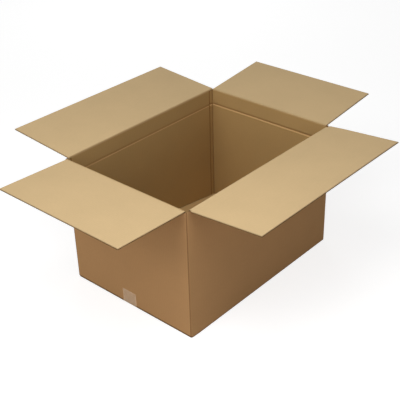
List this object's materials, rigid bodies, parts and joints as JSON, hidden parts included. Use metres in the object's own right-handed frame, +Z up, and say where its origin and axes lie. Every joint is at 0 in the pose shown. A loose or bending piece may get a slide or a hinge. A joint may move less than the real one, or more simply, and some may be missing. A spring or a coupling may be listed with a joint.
{
  "type": "open cardboard box",
  "caption": "Open corrugated cardboard shipping box with hinged top flaps folded outwards and a taped bottom seam.",
  "frame": {"origin": "middle of the box's footprint, on the surface that it stands on", "axes": "+Z up, +X along the long walls towards the end with the glued joint, +Y from the front long wall to the back one"},
  "size_m": [1.0345, 0.8705, 0.4037],
  "materials": {
    "kraft_board": "matte",
    "clear_tape": "gloss"
  },
  "bodies": {
    "carton": {"carton_body": "kraft_board", "bottom_tape": "clear_tape"},
    "left_flap": {"left_end_flap": "kraft_board"},
    "right_flap": {"right_end_flap": "kraft_board"},
    "front_flap": {"front_long_flap": "kraft_board"},
    "back_flap": {"back_long_flap": "kraft_board"}
  },
  "joints": [
    {"name": "left_flap_fold", "type": "hinge", "parent": "carton", "child": "left_flap", "pos_m": [-0.3001, 0, 0.378], "axis": [0, 1, 0], "range_deg": [-92.1, 177.9]},
    {"name": "right_flap_fold", "type": "hinge", "parent": "carton", "child": "right_flap", "pos_m": [0.3001, 0, 0.378], "axis": [0, -1, 0], "range_deg": [-96, 174]},
    {"name": "front_flap_fold", "type": "hinge", "parent": "carton", "child": "front_flap", "pos_m": [0, -0.2181, 0.3813], "axis": [-1, 0, 0], "range_deg": [-94.4, 175.6]},
    {"name": "back_flap_fold", "type": "hinge", "parent": "carton", "child": "back_flap", "pos_m": [0, 0.2181, 0.3813], "axis": [1, 0, 0], "range_deg": [-94.6, 175.4]}
  ]
}
